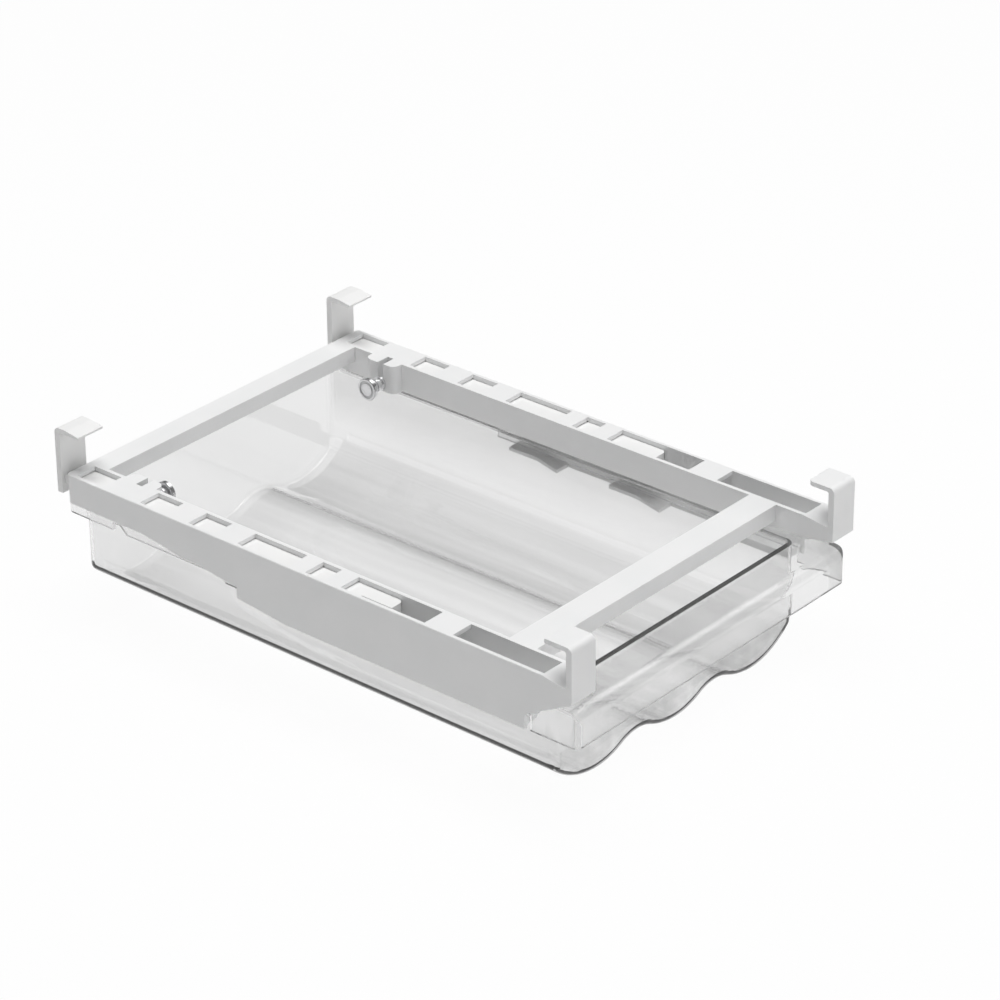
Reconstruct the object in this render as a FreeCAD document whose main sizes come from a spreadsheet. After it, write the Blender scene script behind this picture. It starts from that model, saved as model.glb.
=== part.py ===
import FreeCAD, Part
import Sketcher
import math
import os
from types import SimpleNamespace

# Egg drawer that hangs under a refrigerator shelf.
# A white frame of two channel rails carries two fixed front hooks, two rear hooks
# that slide out of the rails, and a clear tray for three rows of eggs.
# Sketches are drawn from the front face of the hooks (Y) and the rail top (Z).
# Every finished piece is then placed with the origin under the middle of the part.

SIZES = {
    # Rails: inverted channels, open at the rear end
    "frame_width": 207.0,
    "rail_length": 311.45,
    "rail_width": 16.35,
    "rail_wall": 2.0,
    "rail_top": 2.0,
    "rail_edge_round": 0.6,
    "rear_corner_round": 2.5,
    "inner_wall_depth": 15.0,
    "inner_wall_nose_depth": 11.9,
    "inner_wall_nose_start": 17.0,
    "inner_wall_nose_end": 32.0,
    "inner_wall_full_start": 42.0,

    # Lower edge of the outer skirt, from the rear to the front
    "skirt_rear_depth": 15.1,
    "skirt_mid_depth": 18.9,
    "skirt_step_depth": 22.3,
    "skirt_ledge_depth": 27.8,
    "skirt_front_depth": 31.0,
    "skirt_rear_end_from_rear": 50.45,
    "skirt_mid_start_from_rear": 76.65,
    "skirt_mid_end_from_rear": 85.05,
    "skirt_step_from_rear": 111.05,
    "skirt_full_start_from_rear": 141.65,
    "skirt_nose": 26.6,
    "skirt_nose_hollow": 23.4,
    "skirt_nose_hollow_depth": 21.8,
    "skirt_nose_rise": 3.2,
    "skirt_nose_radius": 5.1,
    "skirt_nose_lip": 1.4,
    "skirt_chamfer_start": 19.0,
    "skirt_chamfer_depth": 19.2,

    # Openings through the rail top, slots 1 and 2 from the front, the others from the rear
    "slot_1_start": 17.0,
    "slot_1_length": 52.3,
    "slot_2_start": 86.1,
    "slot_bridge": 10.4,
    "slot_3_from_rear": 164.65,
    "slot_3_length": 11.4,
    "slot_4_from_rear": 143.25,
    "slot_4_length": 32.6,
    "slot_5_from_rear": 95.65,
    "slot_5_length": 16.4,
    "slot_6_from_rear": 64.05,
    "slot_6_length": 16.4,
    "slot_7_from_rear": 22.95,
    "slot_7_length": 17.7,

    # Cross bars, hollow from below
    "rear_bar_width": 12.5,
    "rear_bar_depth": 8.0,
    "front_bar_start": 32.9,
    "front_bar_width": 15.75,
    "front_bar_depth": 8.3,
    "bar_wall": 2.0,

    # Front hooks, moulded with the rails
    "front_post": 3.2,
    "front_post_depth": 9.0,
    "front_hook_gap": 16.7,
    "front_finger": 2.3,
    "front_finger_reach": 15.4,
    "front_hook_round": 3.0,
    "hook_inner_round": 1.0,
    "finger_tip_round": 0.8,
    "finger_corner_round": 3.5,
    "landing_drop": 1.9,
    "landing_floor": 4.2,

    # Ledges inside the skirt that carry the tray
    "ledge_reach": 9.0,
    "ledge_thickness": 1.8,
    "ledge_ramp_drop": 2.8,
    "rear_ledge_flat": 18.1,
    "middle_ledge_start": 137.0,
    "middle_ledge_flat": 17.0,
    "middle_ledge_ramp": 14.5,
    "front_ledge_length": 34.2,
    "front_ledge_thickness": 3.8,

    # Guides across each rail under the arm of the rear hook
    "guide_thickness": 1.5,
    "guide_length": 6.0,
    "front_guide": 120.0,
    "middle_guide": 205.0,
    "rear_guide_from_rear": 22.0,

    # Roller brackets on the inner faces of the rails
    "roller_from_rear": 34.85,
    "axle_depth": 11.0,
    "bracket_reach": 5.65,
    "bracket_front": 9.4,
    "bracket_rear": 10.4,
    "bracket_depth": 15.3,
    "bracket_round": 4.0,
    "notch_side_cut": 0.35,

    # Roller: a stepped stud in the bracket notch with a small ball bearing on its end
    "stud_radius": 1.83,
    "stud_clearance": 0.07,
    "stud_end_gap": 0.9,
    "collar_radius": 3.7,
    "collar_width": 1.2,
    "neck_radius": 2.9,
    "neck_width": 0.9,
    "shoulder_radius": 2.7,
    "shoulder_width": 1.0,
    "bracket_gap": 0.2,
    "bearing_width": 2.4,
    "bearing_radius": 5.8,
    "bearing_bore": 2.0,
    "bearing_stack": 8.15,
    "ring_land_inner": 3.35,
    "ring_land_outer": 4.3,
    "ball_radius": 0.7,
    "ball_clearance": 0.03,
    "ball_circle": 3.83,
    "shield_seat_radius": 4.75,
    "shield_seat_depth": 0.5,
    "shield_thickness": 0.2,
    "shield_bore": 3.45,
    "bearing_chamfer": 0.25,

    # Rear hooks: an arm inside the rail, a post and a finger
    "hook_gap": 2.95,
    "rear_post": 3.3,
    "rear_post_depth": 11.3,
    "rear_hook_gap": 21.1,
    "rear_finger": 2.2,
    "rear_finger_tip": 1.0,
    "rear_finger_reach": 12.7,
    "rear_finger_flat": 4.7,
    "rear_hook_round": 3.0,
    "arm_length": 205.4,
    "arm_height": 5.0,
    "arm_top_gap": 0.5,
    "arm_side_gap": 0.35,
    "arm_corner_round": 3.0,
    "latch_width": 2.0,
    "latch_slot": 1.4,
    "latch_slot_length": 18.0,
    "latch_reach": 6.0,
    "latch_bump": 1.0,

    # Clear tray
    "tray_wall": 1.9,
    "tray_height": 56.1,
    "rim_gap": 0.6,
    "tray_side_inset": 1.25,
    "tray_front": 21.6,
    "tray_overrun": 5.55,
    "tray_corner_round": 5.0,
    "lobe_pitch": 57.45,
    "lobe_radius": 41.0,
    "lobe_crest_round": 27.4,
    "tray_floor_round": 1.6,
    "low_rear_rim": 2.6,
    "low_rim_corner": 4.5,
    "flange_clearance": 2.4,
    "flange_edge_round": 2.0,
    "flange_deep": 10.6,
    "flange_shallow": 7.7,
    "flange_deep_from_rear": 99.45,
    "flange_gap_from_rear": 34.45,
    "flange_gap_slope": 4.2,
    "flange_gap_length": 9.0,
    "flange_gap_height": 3.8,
    "flange_tail_round": 3.0,
    "glide": 0.2,

    # Front lip of the tray, the hand hold
    "lip_setback": 0.2,
    "lip_slope": 1.2,
    "lip_round": 6.3,
    "lip_depth": 18.7,
    "lip_side_length": 27.0,
    "lip_corner_round": 4.0,
    "closed_gap": 0.8,
}

BALL_COUNT = 14
SIDES = {"left": -1, "right": 1}


class Size:
    """A length with the sheet expression that it comes from."""

    def __init__(self, number, text):
        self.number = number
        self.text = text

    def _join(self, other, sign, number):
        other_text = other.text if isinstance(other, Size) else repr(float(other))
        return Size(number, f"({self.text} {sign} {other_text})")

    def __add__(self, other):
        return self._join(other, "+", self.number + number_of(other))

    def __sub__(self, other):
        return self._join(other, "-", self.number - number_of(other))

    def __mul__(self, other):
        return self._join(other, "*", self.number * number_of(other))

    def __truediv__(self, other):
        return self._join(other, "/", self.number / number_of(other))

    def __neg__(self):
        return self * -1

    def root(self):
        return Size(math.sqrt(self.number), f"sqrt({self.text})")


def number_of(value):
    return value.number if isinstance(value, Size) else float(value)


doc = FreeCAD.newDocument("EggDrawer")
sheet = doc.addObject("Spreadsheet::Sheet", "Sizes")
for row, (name, number) in enumerate(SIZES.items(), start=1):
    sheet.set(f"A{row}", name)
    sheet.set(f"B{row}", str(number))
    sheet.setAlias(f"B{row}", name)
doc.recompute()
S = SimpleNamespace(**{name: Size(number, "Sizes." + name) for name, number in SIZES.items()})

# Places that several pieces share
OUT = S.frame_width / 2
IN = OUT - S.rail_width
CHANNEL_IN = IN + S.rail_wall
CHANNEL_OUT = OUT - S.rail_wall
POST_FRONT = S.rail_length + S.hook_gap
LENGTH = POST_FRONT + S.rear_post
SKIRT_REAR_END = S.rail_length - S.skirt_rear_end_from_rear
SKIRT_MID_START = S.rail_length - S.skirt_mid_start_from_rear
SKIRT_MID_END = S.rail_length - S.skirt_mid_end_from_rear
SKIRT_STEP = S.rail_length - S.skirt_step_from_rear
SKIRT_FULL_START = S.rail_length - S.skirt_full_start_from_rear
RIM = -(S.inner_wall_depth + S.rim_gap)
BOTTOM = RIM - S.tray_height
AXLE_Y = S.rail_length - S.roller_from_rear
AXLE_Z = -S.axle_depth
NOTCH_RADIUS = S.stud_radius + S.stud_clearance
BRACKET_NOSE = IN - S.bracket_reach
ARM_TOP = -(S.rail_top + S.arm_top_gap)
ARM_BOTTOM = ARM_TOP - S.arm_height
GUIDE_TOP = ARM_BOTTOM - S.glide
FLANGE_OUT = CHANNEL_OUT - S.flange_clearance
FLANGE_DEEP = RIM - S.flange_deep
FLANGE_SHALLOW = RIM - S.flange_shallow
FLANGE_DEEP_END = S.rail_length - S.flange_deep_from_rear
FLANGE_GAP_START = S.rail_length - S.flange_gap_from_rear
FLANGE_GAP_END = FLANGE_GAP_START + S.flange_gap_length
LEDGE_TOP = FLANGE_DEEP - S.glide
LEDGE_IN = CHANNEL_OUT - S.ledge_reach
TRAY_OUT = IN + S.tray_side_inset
TRAY_REAR = S.rail_length + S.tray_overrun
LIP_BOTTOM = RIM - S.lip_depth
BEARING_FACE = BRACKET_NOSE - S.bearing_stack - S.bearing_width
CLEAR = 20.0


def bind(thing, prop, value):
    """Set a property to a number, or tie it to the sheet."""
    if isinstance(value, Size):
        thing.setExpression(prop, value.text)
    else:
        setattr(thing, prop, value)


def place(piece):
    """Move a piece from the drawing frame to the part's own frame."""
    piece.setExpression("Placement.Base.y", (-LENGTH / 2).text)
    piece.setExpression("Placement.Base.z", (-BOTTOM).text)


def make_body(name):
    body = doc.addObject("PartDesign::Body", name)
    body.Label = name
    place(body)
    return body


def origin_plane(body, role):
    return next(item for item in body.Origin.OriginFeatures if item.Role == role)


def make_sketch(body, name, role, lift=None, rise=None):
    """A sketch on an origin plane, lifted along its normal and raised along its own Y."""
    sketch = body.newObject("Sketcher::SketchObject", name)
    sketch.AttachmentSupport = [(origin_plane(body, role), "")]
    sketch.MapMode = "FlatFace"
    if lift is not None:
        sketch.setExpression("AttachmentOffset.Base.z", lift.text)
    if rise is not None:
        sketch.setExpression("AttachmentOffset.Base.y", rise.text)
    return sketch


def pin_point(sketch, item, end, spot):
    """Fix one end of a sketch line or arc at a place given by sizes."""
    for kind, axis, value in (("DistanceX", -2, spot[0]), ("DistanceY", -1, spot[1])):
        if isinstance(value, Size):
            row = sketch.addConstraint(Sketcher.Constraint(kind, -1, 1, item, end, value.number))
            sketch.setExpression(f"Constraints[{row}]", value.text)
        elif value == 0:
            sketch.addConstraint(Sketcher.Constraint("PointOnObject", item, end, axis))
        else:
            sketch.addConstraint(Sketcher.Constraint(kind, -1, 1, item, end, value))


def pin_radius(sketch, item, radius):
    row = sketch.addConstraint(Sketcher.Constraint("Radius", item, number_of(radius)))
    if isinstance(radius, Size):
        sketch.setExpression(f"Constraints[{row}]", radius.text)


def vector(spot):
    return FreeCAD.Vector(number_of(spot[0]), number_of(spot[1]), 0)


def arc_between(start, end, centre, hand):
    """An arc that runs left about its centre if hand is 1, and which of its ends lies at start."""
    first, last = (start, end) if hand == 1 else (end, start)
    circle = Part.Circle(centre, FreeCAD.Vector(0, 0, 1), (start - centre).Length)
    begin = math.atan2(first.y - centre.y, first.x - centre.x)
    finish = math.atan2(last.y - centre.y, last.x - centre.x)
    turn = (finish - begin) % (2 * math.pi)
    return Part.ArcOfCircle(circle, begin, begin + turn), 1 if hand == 1 else 2


def draw(sketch, corners, bows=None):
    """Draw one closed outline. A corner is (x, y) or (x, y, rounding).

    bows maps the number of a side to (radius, hand): that side is an arc of this radius,
    which bulges to the right of the way from corner to corner if hand is 1, or to the left.
    """
    bows = bows or {}
    count = len(corners)
    points = [vector(corner) for corner in corners]
    rounds = [corner[2] if len(corner) > 2 else None for corner in corners]
    entries = []
    exits = []
    for index, radius in enumerate(rounds):
        point = points[index]
        if radius is None:
            entries.append(point)
            exits.append(point)
            continue
        back = (points[index - 1] - point).normalize()
        ahead = (points[(index + 1) % count] - point).normalize()
        reach = number_of(radius) / math.tan(back.getAngle(ahead) / 2)
        entries.append(point + back * reach)
        exits.append(point + ahead * reach)

    sides = []
    for index in range(count):
        start = exits[index]
        end = entries[(index + 1) % count]
        if index in bows:
            radius, hand = bows[index]
            chord = end - start
            height = math.sqrt(number_of(radius) ** 2 - (chord.Length / 2) ** 2)
            left = FreeCAD.Vector(-chord.y, chord.x, 0).normalize()
            shape, first = arc_between(start, end, (start + end) / 2 + left * height * hand, hand)
            item = sketch.addGeometry(shape, False)
            pin_radius(sketch, item, radius)
            sides.append((item, first, 3 - first))
        else:
            item = sketch.addGeometry(Part.LineSegment(start, end), False)
            sides.append((item, 1, 2))

    for index, radius in enumerate(rounds):
        before, _, before_end = sides[index - 1]
        after, after_start, _ = sides[index]
        if radius is None:
            sketch.addConstraint(Sketcher.Constraint("Coincident", before, before_end, after, after_start))
            pin_point(sketch, after, after_start, corners[index])
            continue
        point = points[index]
        middle = (entries[index] - point) + (exits[index] - point)
        reach = (entries[index] - point).Length
        length = math.hypot(reach, number_of(radius))
        hand = 1 if (point - entries[index]).cross(exits[index] - point).z > 0 else -1
        centre = point + middle.normalize() * length
        shape, first = arc_between(entries[index], exits[index], centre, hand)
        item = sketch.addGeometry(shape, False)
        mark = sketch.addGeometry(Part.Point(point), True)
        sketch.addConstraint(Sketcher.Constraint("Tangent", before, before_end, item, first))
        sketch.addConstraint(Sketcher.Constraint("Tangent", item, 3 - first, after, after_start))
        sketch.addConstraint(Sketcher.Constraint("PointOnObject", mark, 1, before))
        sketch.addConstraint(Sketcher.Constraint("PointOnObject", mark, 1, after))
        pin_point(sketch, mark, 1, corners[index])
        pin_radius(sketch, item, radius)


def box_corners(x_low, x_high, y_low, y_high):
    return [(x_low, y_low), (x_high, y_low), (x_high, y_high), (x_low, y_high)]


def mirror_corners(corners):
    """The same outline on the other side of the sketch's upright axis."""
    return [(-corner[0],) + tuple(corner[1:]) for corner in reversed(corners)]


def extrude(body, kind, name, sketch, length=None, reverse=False, both_ways=False):
    """A pad or pocket of a sketch. With no length, a pocket goes through everything."""
    feature = body.newObject("PartDesign::" + kind, name)
    feature.Profile = sketch
    feature.Reversed = reverse
    feature.Midplane = both_ways
    if length is None:
        feature.Type = "ThroughAll"
    else:
        bind(feature, "Length", length)
    sketch.Visibility = False
    doc.recompute()
    check_change(body, feature, kind)
    return feature


def check_change(body, feature, kind):
    """A pad must add material and a pocket must remove some."""
    base = feature.BaseFeature
    before = base.Shape.Volume if base else 0
    change = feature.Shape.Volume - before
    if (kind == "Pocket") == (change > -1e-6):
        raise RuntimeError(f"{body.Label}: {feature.Name} changes the volume by {change:.3f}")


def pick_edges(shape, test):
    """Names of the edges whose middle point and direction pass the test."""
    names = []
    for index, edge in enumerate(shape.Edges, start=1):
        middle = edge.valueAt((edge.FirstParameter + edge.LastParameter) / 2)
        along = edge.tangentAt((edge.FirstParameter + edge.LastParameter) / 2)
        if test(middle, along):
            names.append(f"Edge{index}")
    return names


def near(value, size):
    return abs(value - number_of(size)) < 0.05


def round_edges(body, name, radius, test):
    """Round the edges of the body's last feature that pass the test."""
    base = body.Tip
    names = pick_edges(base.Shape, test)
    if not names:
        raise RuntimeError(f"{body.Label}: no edge found for {name}")
    feature = body.newObject("PartDesign::Fillet", name)
    feature.Base = (base, names)
    bind(feature, "Radius", radius)
    doc.recompute()
    return feature


def upright(along):
    return abs(along.z) > 0.999


def draw_circle(sketch, centre, radius):
    circle = Part.Circle(vector(centre), FreeCAD.Vector(0, 0, 1), number_of(radius))
    item = sketch.addGeometry(circle, False)
    pin_point(sketch, item, 3, centre)
    pin_radius(sketch, item, radius)


def corner_outline(x, y, radius, x_side, y_side):
    """The waste outside a rounded plan corner at (x, y), and its rounded side."""
    corners = [
        (x, y - radius * y_side),
        (x - radius * x_side, y),
        (x - radius * x_side, y + CLEAR * y_side),
        (x + CLEAR * x_side, y + CLEAR * y_side),
        (x + CLEAR * x_side, y - radius * y_side),
    ]
    return corners, {0: (radius, x_side * y_side)}


# Hanging frame: one half is built on the positive X side and then mirrored

def rail_channel(body):
    sketch = make_sketch(body, "RailSection", "XZ_Plane")
    draw(sketch, [
        (IN, -S.inner_wall_depth),
        (IN, 0),
        (OUT, 0, S.rail_edge_round),
        (OUT, -S.skirt_front_depth),
        (CHANNEL_OUT, -S.skirt_front_depth),
        (CHANNEL_OUT, -S.rail_top),
        (CHANNEL_IN, -S.rail_top),
        (CHANNEL_IN, -S.inner_wall_depth),
    ])
    extrude(body, "Pad", "RailChannel", sketch, S.rail_length, reverse=True)


def skirt_edge(body):
    """The stepped lower edge of the outer wall, with the curled nose at its front."""
    below = -S.skirt_front_depth - CLEAR
    sketch = make_sketch(body, "SkirtEdge", "YZ_Plane", lift=CHANNEL_IN + S.rail_wall)
    draw(sketch, [
        (-CLEAR, below),
        (S.rail_length + CLEAR, below),
        (S.rail_length + CLEAR, -S.skirt_rear_depth),
        (SKIRT_REAR_END, -S.skirt_rear_depth),
        (SKIRT_MID_START, -S.skirt_mid_depth),
        (SKIRT_MID_END, -S.skirt_mid_depth),
        (SKIRT_STEP, -S.skirt_step_depth),
        (SKIRT_STEP, -S.skirt_ledge_depth),
        (SKIRT_FULL_START, -S.skirt_front_depth),
        (S.skirt_nose, -S.skirt_front_depth),
        (S.skirt_nose, -S.skirt_nose_hollow_depth - S.skirt_nose_rise),
        (S.skirt_nose_hollow, -S.skirt_nose_hollow_depth),
        (S.skirt_chamfer_start, -S.skirt_nose_hollow_depth + S.skirt_nose_lip),
        (S.skirt_chamfer_start, -S.skirt_chamfer_depth),
        (0, -S.front_post_depth),
        (-CLEAR, -S.front_post_depth),
    ], bows={10: (S.skirt_nose_radius, 1)})
    extrude(body, "Pocket", "SkirtCut", sketch, reverse=True)


def inner_wall_edge(body):
    """The inner wall is shallower near the front, over the curled nose of the skirt."""
    below = -S.inner_wall_depth - CLEAR
    sketch = make_sketch(body, "InnerWallEdge", "YZ_Plane", lift=IN - S.rail_wall)
    draw(sketch, [
        (-CLEAR, below),
        (S.inner_wall_full_start, below),
        (S.inner_wall_full_start, -S.inner_wall_depth),
        (S.inner_wall_nose_end, -S.inner_wall_nose_depth),
        (S.inner_wall_nose_start, -S.inner_wall_nose_depth),
        (0, -S.front_post_depth),
        (-CLEAR, -S.front_post_depth),
    ])
    extrude(body, "Pocket", "InnerWallCut", sketch, S.rail_wall * 2.5, reverse=True)


def rail_slots(body):
    starts = [
        (S.slot_1_start, S.slot_1_length),
        (S.slot_2_start, S.rail_length - S.slot_3_from_rear - S.slot_bridge - S.slot_2_start),
        (S.rail_length - S.slot_3_from_rear, S.slot_3_length),
        (S.rail_length - S.slot_4_from_rear, S.slot_4_length),
        (S.rail_length - S.slot_5_from_rear, S.slot_5_length),
        (S.rail_length - S.slot_6_from_rear, S.slot_6_length),
        (S.rail_length - S.slot_7_from_rear, S.slot_7_length),
    ]
    sketch = make_sketch(body, "SlotOutlines", "XY_Plane")
    for start, length in starts:
        draw(sketch, box_corners(CHANNEL_IN, CHANNEL_OUT, start, start + length))
    extrude(body, "Pocket", "Slots", sketch, S.rail_top)


def front_landing(body):
    """A thicker floor behind each front hook, with a ramp down to the post."""
    sketch = make_sketch(body, "LandingOutline", "XY_Plane", lift=-S.rail_top)
    middle_in = CHANNEL_IN - S.rail_wall / 2
    middle_out = CHANNEL_OUT + S.rail_wall / 2
    draw(sketch, box_corners(middle_in, middle_out, 0, S.slot_1_start))
    extrude(body, "Pad", "Landing", sketch, S.landing_floor - S.rail_top, reverse=True)
    ramp = make_sketch(body, "RampOutline", "YZ_Plane", lift=IN - S.rail_wall)
    draw(ramp, [
        (S.front_post, -S.landing_drop),
        (S.slot_1_start, 0),
        (S.slot_1_start, CLEAR),
        (0, CLEAR),
        (0, -S.landing_drop),
    ])
    extrude(body, "Pocket", "Ramp", ramp, S.rail_width + S.rail_wall * 2, reverse=True)


def front_hook(body):
    top = S.front_hook_gap + S.front_finger
    sketch = make_sketch(body, "FrontHookOutline", "YZ_Plane", lift=IN)
    draw(sketch, [
        (0, -S.front_post_depth),
        (S.front_post, -S.front_post_depth),
        (S.front_post, S.front_hook_gap, S.hook_inner_round),
        (S.front_finger_reach, S.front_hook_gap, S.finger_tip_round),
        (S.front_finger_reach, top, S.finger_tip_round),
        (0, top, S.front_hook_round),
    ])
    extrude(body, "Pad", "FrontHook", sketch, S.rail_width)
    tip = make_sketch(body, "FingerCorner", "XY_Plane", lift=S.front_hook_gap - S.front_finger)
    corners, bows = corner_outline(IN, S.front_finger_reach, S.finger_corner_round, -1, 1)
    draw(tip, corners, bows)
    extrude(body, "Pocket", "FingerCornerCut", tip, S.front_finger * 3, reverse=True)


def cross_bar(body, name, start, width, depth):
    """Half of a bar that is open below, from the middle of the frame into the rail wall."""
    sketch = make_sketch(body, name + "Section", "YZ_Plane")
    draw(sketch, [
        (start, 0),
        (start, -depth),
        (start + S.bar_wall, -depth),
        (start + S.bar_wall, -S.bar_wall),
        (start + width - S.bar_wall, -S.bar_wall),
        (start + width - S.bar_wall, -depth),
        (start + width, -depth),
        (start + width, 0),
    ])
    extrude(body, "Pad", name, sketch, IN + S.rail_wall / 2)


def roller_bracket(body):
    """Two rounded noses on the inner wall with the open notch for the stud between them."""
    root = IN + S.rail_wall / 2
    front = AXLE_Y - S.bracket_front
    rear = AXLE_Y + S.bracket_rear
    sketch = make_sketch(body, "BracketOutline", "XY_Plane")
    draw(sketch, [
        (root, front),
        (root, rear),
        (BRACKET_NOSE, rear, S.bracket_round),
        (BRACKET_NOSE, front, S.bracket_round),
    ])
    extrude(body, "Pad", "Bracket", sketch, S.bracket_depth, reverse=True)
    depth = CHANNEL_IN + S.notch_side_cut - BRACKET_NOSE + S.rail_wall
    slot = make_sketch(body, "NotchOutline", "YZ_Plane", lift=BRACKET_NOSE - S.rail_wall)
    draw(slot, box_corners(AXLE_Y - NOTCH_RADIUS, AXLE_Y + NOTCH_RADIUS, AXLE_Z, CLEAR))
    extrude(body, "Pocket", "Notch", slot, depth, reverse=True)
    seat = make_sketch(body, "SeatOutline", "YZ_Plane", lift=BRACKET_NOSE - S.rail_wall)
    draw_circle(seat, (AXLE_Y, AXLE_Z), NOTCH_RADIUS)
    extrude(body, "Pocket", "NotchSeat", seat, depth, reverse=True)


def ramped_ledge(start, flat, ramp, drop):
    """Outline of a shelf of even thickness whose front end slopes down."""
    bottom = LEDGE_TOP - S.ledge_thickness
    return [
        (start, LEDGE_TOP),
        (start - flat, LEDGE_TOP),
        (start - flat - ramp, LEDGE_TOP - drop),
        (start - flat - ramp, bottom - drop),
        (start - flat, bottom),
        (start, bottom),
    ]


def tray_ledges(body):
    rear_ramp = SKIRT_STEP - S.rear_ledge_flat - SKIRT_FULL_START
    front = S.lip_side_length + S.closed_gap
    sketch = make_sketch(body, "LedgeOutlines", "YZ_Plane", lift=LEDGE_IN)
    draw(sketch, ramped_ledge(SKIRT_STEP, S.rear_ledge_flat, rear_ramp, S.ledge_ramp_drop))
    draw(sketch, ramped_ledge(S.middle_ledge_start, S.middle_ledge_flat, S.middle_ledge_ramp,
                              S.ledge_ramp_drop))
    draw(sketch, box_corners(front, front + S.front_ledge_length,
                             LEDGE_TOP - S.front_ledge_thickness, LEDGE_TOP))
    extrude(body, "Pad", "TrayLedges", sketch, S.ledge_reach + S.rail_wall / 2)


def arm_guides(body):
    """Thin bridges across the channel that the arm of the rear hook slides on."""
    sketch = make_sketch(body, "GuideOutlines", "XY_Plane", lift=GUIDE_TOP)
    for start in (S.front_guide, S.middle_guide, S.rail_length - S.rear_guide_from_rear):
        draw(sketch, box_corners(CHANNEL_IN - S.rail_wall / 2, CHANNEL_OUT + S.rail_wall / 2,
                                 start, start + S.guide_length))
    extrude(body, "Pad", "ArmGuides", sketch, S.guide_thickness, reverse=True)


def rear_corner(body):
    sketch = make_sketch(body, "RearCornerOutline", "XY_Plane")
    corners, bows = corner_outline(OUT, S.rail_length, S.rear_corner_round, 1, 1)
    draw(sketch, corners, bows)
    extrude(body, "Pocket", "RearCornerCut", sketch)


def build_frame():
    body = make_body("hanging_frame")
    rail_channel(body)
    skirt_edge(body)
    inner_wall_edge(body)
    rail_slots(body)
    front_landing(body)
    front_hook(body)
    cross_bar(body, "RearBar", S.rail_length - S.rear_bar_width, S.rear_bar_width, S.rear_bar_depth)
    cross_bar(body, "FrontBar", S.front_bar_start, S.front_bar_width, S.front_bar_depth)
    roller_bracket(body)
    tray_ledges(body)
    arm_guides(body)
    rear_corner(body)
    both = body.newObject("PartDesign::Mirrored", "BothSides")
    both.TransformMode = "Whole shape"
    both.MirrorPlane = (origin_plane(body, "YZ_Plane"), [""])
    body.Tip = both
    return body


# Rear hooks

def build_rear_hook(side_name):
    """An arm with a snap finger at its end, a post and a thin arched finger."""
    side = SIDES[side_name]
    body = make_body(side_name + "_rear_hook")
    arm_low = CHANNEL_IN + S.arm_side_gap
    arm_high = CHANNEL_OUT - S.arm_side_gap
    rail_low = IN
    if side < 0:
        arm_low, arm_high = -arm_high, -arm_low
        rail_low = -OUT
    end = POST_FRONT - S.arm_length
    tip = end - S.latch_reach
    root = POST_FRONT + S.rear_post / 2
    slot = arm_low + S.latch_width
    sketch = make_sketch(body, side_name + "ArmOutline", "XY_Plane", lift=ARM_TOP)
    draw(sketch, [
        (arm_low, root),
        (arm_low, tip + S.latch_bump),
        (arm_low + S.latch_bump, tip),
        (slot, tip),
        (slot, end + S.latch_slot_length),
        (slot + S.latch_slot, end + S.latch_slot_length),
        (slot + S.latch_slot, end),
        (arm_high, end, S.arm_corner_round),
        (arm_high, root),
    ])
    extrude(body, "Pad", side_name + "Arm", sketch, S.arm_height, reverse=True)

    top = S.rear_hook_gap + S.rear_finger
    reach = POST_FRONT - S.rear_finger_reach
    hook = make_sketch(body, side_name + "HookOutline", "YZ_Plane", lift=rail_low)
    draw(hook, [
        (LENGTH, -S.rear_post_depth),
        (LENGTH, top, S.rear_hook_round),
        (POST_FRONT - S.rear_finger_flat, top),
        (reach, S.rear_hook_gap + S.rear_finger_tip),
        (reach, S.rear_hook_gap),
        (POST_FRONT, S.rear_hook_gap, S.hook_inner_round),
        (POST_FRONT, -S.rear_post_depth),
    ])
    extrude(body, "Pad", side_name + "Hook", hook, S.rail_width)
    return body


# Rollers: solids of revolution about an axis along X

def turned(name, side, outlines):
    """A turned piece. Outlines hold (distance from the middle of the frame, radius)."""
    body = make_body(name)
    sketch = make_sketch(body, name + "_profile", "XZ_Plane", lift=-AXLE_Y, rise=AXLE_Z)
    for corners, bows in outlines:
        if side < 0:
            count = len(corners)
            corners = mirror_corners(corners)
            bows = {(count - 2 - index) % count: bow for index, bow in bows.items()}
        draw(sketch, corners, bows)
    feature = body.newObject("PartDesign::Revolution", name + "_turned")
    feature.Profile = sketch
    feature.ReferenceAxis = (sketch, ["H_Axis"])
    feature.Angle = 360
    sketch.Visibility = False
    return body


def build_stud(side_name):
    """A stepped pin: a bearing seat, a shoulder, collars with necks, and a notch journal."""
    side = SIDES[side_name]
    seat = BEARING_FACE + S.bearing_width
    first = seat + S.shoulder_width
    second = first + S.collar_width + S.neck_width
    last = BRACKET_NOSE - S.bracket_gap
    end = CHANNEL_IN + S.notch_side_cut - S.stud_end_gap
    steps = [
        (BEARING_FACE, seat, S.bearing_bore),
        (seat, first, S.shoulder_radius),
        (first, first + S.collar_width, S.collar_radius),
        (first + S.collar_width, second, S.neck_radius),
        (second, second + S.collar_width, S.collar_radius),
        (second + S.collar_width, last - S.collar_width, S.neck_radius),
        (last - S.collar_width, last, S.collar_radius),
        (last, end, S.stud_radius),
    ]
    corners = [(steps[0][0], 0)]
    for low, high, radius in steps:
        corners += [(low, radius), (high, radius)]
    corners.append((steps[-1][1], 0))
    return turned(side_name + "_roller_stud", side, [(corners, {})])


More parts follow.
